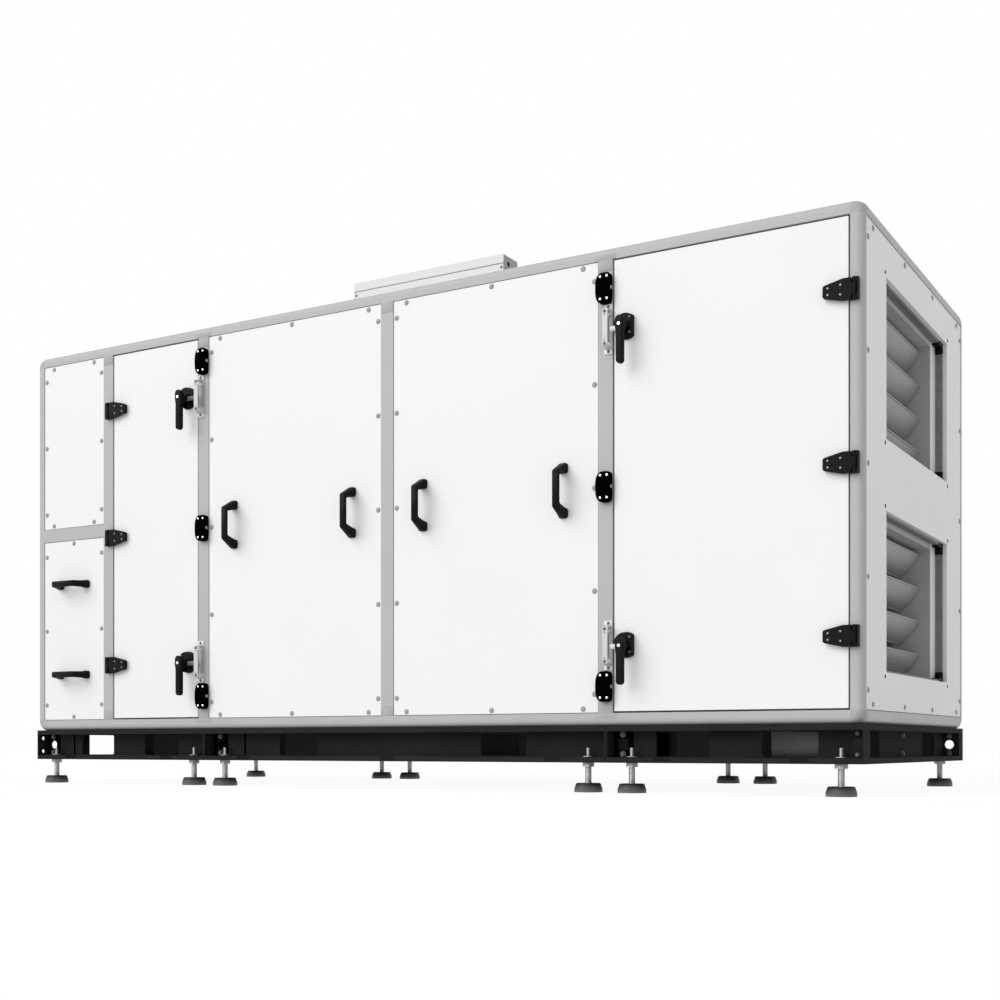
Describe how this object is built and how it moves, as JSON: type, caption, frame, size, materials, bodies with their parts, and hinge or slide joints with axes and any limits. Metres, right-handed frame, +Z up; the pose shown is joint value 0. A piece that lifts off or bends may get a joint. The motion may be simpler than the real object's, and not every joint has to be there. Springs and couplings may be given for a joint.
{
  "type": "air handling unit",
  "caption": "Long box-shaped air handling unit with framed panels, lever-latched doors, louvre dampers in one end and a channel base on levelling feet.",
  "frame": {"origin": "on the floor, in the middle of the bounding box seen from above", "axes": "+X along the length towards the dampers, +Y from the front to the rear, +Z up"},
  "size_m": [3.36, 1.3719, 1.81],
  "materials": {
    "painted_white": "satin",
    "frame_grey": "satin",
    "black_plastic": "matte",
    "black_paint": "matte",
    "bright_steel": "bright",
    "galvanised_steel": "galvanised",
    "aluminium_blade": "satin",
    "foot_rubber": "matte"
  },
  "bodies": {
    "casing": {"base_side_beams": "black_paint", "base_cross_beams": "black_paint", "foot_pads": "foot_rubber", "foot_studs": "bright_steel", "frame_rails": "frame_grey", "corner_posts": "frame_grey", "frame_corners": "frame_grey", "front_posts": "frame_grey", "rear_posts": "frame_grey", "left_mid_rail": "frame_grey", "cross_rails": "frame_grey", "upper_left_panel": "painted_white", "lower_left_panel": "painted_white", "service_panel_1": "painted_white", "service_panel_2": "painted_white", "rear_panels": "painted_white", "roof_panels": "painted_white", "floor_panels": "painted_white", "left_end_panel": "painted_white", "right_end_panel": "painted_white", "hinge_post_leaves": "black_plastic", "latch_strikes": "bright_steel", "section_joint_plates": "black_plastic", "panel_handles": "black_plastic", "duct_frames": "black_paint", "damper_frames": "galvanised_steel", "roof_box": "painted_white", "roof_box_lid": "painted_white"},
    "left_door": {"left_door_panel": "painted_white", "left_door_leaves": "black_plastic", "left_lever_bases": "black_plastic"},
    "right_door": {"right_door_panel": "painted_white", "right_door_leaves": "black_plastic", "right_lever_bases": "black_plastic"},
    "left_lever_low_body": {"left_lever_low": "black_plastic", "left_roller_low": "bright_steel"},
    "left_lever_high_body": {"left_lever_high": "black_plastic", "left_roller_high": "bright_steel"},
    "right_lever_low_body": {"right_lever_low": "black_plastic", "right_roller_low": "bright_steel"},
    "right_lever_high_body": {"right_lever_high": "black_plastic", "right_roller_high": "bright_steel"},
    "upper_blade_1_body": {"upper_blade_1": "aluminium_blade"},
    "upper_blade_2_body": {"upper_blade_2": "aluminium_blade"},
    "upper_blade_3_body": {"upper_blade_3": "aluminium_blade"},
    "upper_blade_4_body": {"upper_blade_4": "aluminium_blade"},
    "lower_blade_1_body": {"lower_blade_1": "aluminium_blade"},
    "lower_blade_2_body": {"lower_blade_2": "aluminium_blade"},
    "lower_blade_3_body": {"lower_blade_3": "aluminium_blade"},
    "lower_blade_4_body": {"lower_blade_4": "aluminium_blade"}
  },
  "joints": [
    {"name": "left_door_swing", "type": "hinge", "parent": "casing", "child": "left_door", "pos_m": [-1.276, -0.638, 0.96], "axis": [0, 0, -1], "range_deg": [0, 120]},
    {"name": "right_door_swing", "type": "hinge", "parent": "casing", "child": "right_door", "pos_m": [1.656, -0.638, 0.96], "axis": [0, 0, 1], "range_deg": [0, 120]},
    {"name": "left_lever_low_turn", "type": "hinge", "parent": "left_door", "child": "left_lever_low_body", "pos_m": [-0.869, -0.666, 0.456], "axis": [0, 1, 0], "range_deg": [0, 90]},
    {"name": "left_lever_high_turn", "type": "hinge", "parent": "left_door", "child": "left_lever_high_body", "pos_m": [-0.869, -0.666, 1.446], "axis": [0, 1, 0], "range_deg": [0, 90]},
    {"name": "right_lever_low_turn", "type": "hinge", "parent": "right_door", "child": "right_lever_low_body", "pos_m": [0.939, -0.666, 0.456], "axis": [0, -1, 0], "range_deg": [0, 90]},
    {"name": "right_lever_high_turn", "type": "hinge", "parent": "right_door", "child": "right_lever_high_body", "pos_m": [0.939, -0.666, 1.446], "axis": [0, -1, 0], "range_deg": [0, 90]},
    {"name": "upper_blade_1_turn", "type": "hinge", "parent": "casing", "child": "upper_blade_1_body", "pos_m": [1.571, 0.024, 1.4695], "axis": [0, 1, 0], "range_deg": [-42, 48]},
    {"name": "upper_blade_2_turn", "type": "hinge", "parent": "casing", "child": "upper_blade_2_body", "pos_m": [1.571, 0.024, 1.3545], "axis": [0, 1, 0], "range_deg": [-42, 48]},
    {"name": "upper_blade_3_turn", "type": "hinge", "parent": "casing", "child": "upper_blade_3_body", "pos_m": [1.571, 0.024, 1.2395], "axis": [0, 1, 0], "range_deg": [-42, 48]},
    {"name": "upper_blade_4_turn", "type": "hinge", "parent": "casing", "child": "upper_blade_4_body", "pos_m": [1.571, 0.024, 1.1245], "axis": [0, 1, 0], "range_deg": [-42, 48]},
    {"name": "lower_blade_1_turn", "type": "hinge", "parent": "casing", "child": "lower_blade_1_body", "pos_m": [1.571, 0.024, 0.7695], "axis": [0, 1, 0], "range_deg": [-42, 48]},
    {"name": "lower_blade_2_turn", "type": "hinge", "parent": "casing", "child": "lower_blade_2_body", "pos_m": [1.571, 0.024, 0.6545], "axis": [0, 1, 0], "range_deg": [-42, 48]},
    {"name": "lower_blade_3_turn", "type": "hinge", "parent": "casing", "child": "lower_blade_3_body", "pos_m": [1.571, 0.024, 0.5395], "axis": [0, 1, 0], "range_deg": [-42, 48]},
    {"name": "lower_blade_4_turn", "type": "hinge", "parent": "casing", "child": "lower_blade_4_body", "pos_m": [1.571, 0.024, 0.4245], "axis": [0, 1, 0], "range_deg": [-42, 48]}
  ],
  "couplings": [
    {"joint": "upper_blade_2_turn", "follows": "upper_blade_1_turn", "ratio": 1},
    {"joint": "upper_blade_3_turn", "follows": "upper_blade_1_turn", "ratio": 1},
    {"joint": "upper_blade_4_turn", "follows": "upper_blade_1_turn", "ratio": 1},
    {"joint": "lower_blade_2_turn", "follows": "lower_blade_1_turn", "ratio": 1},
    {"joint": "lower_blade_3_turn", "follows": "lower_blade_1_turn", "ratio": 1},
    {"joint": "lower_blade_4_turn", "follows": "lower_blade_1_turn", "ratio": 1}
  ]
}
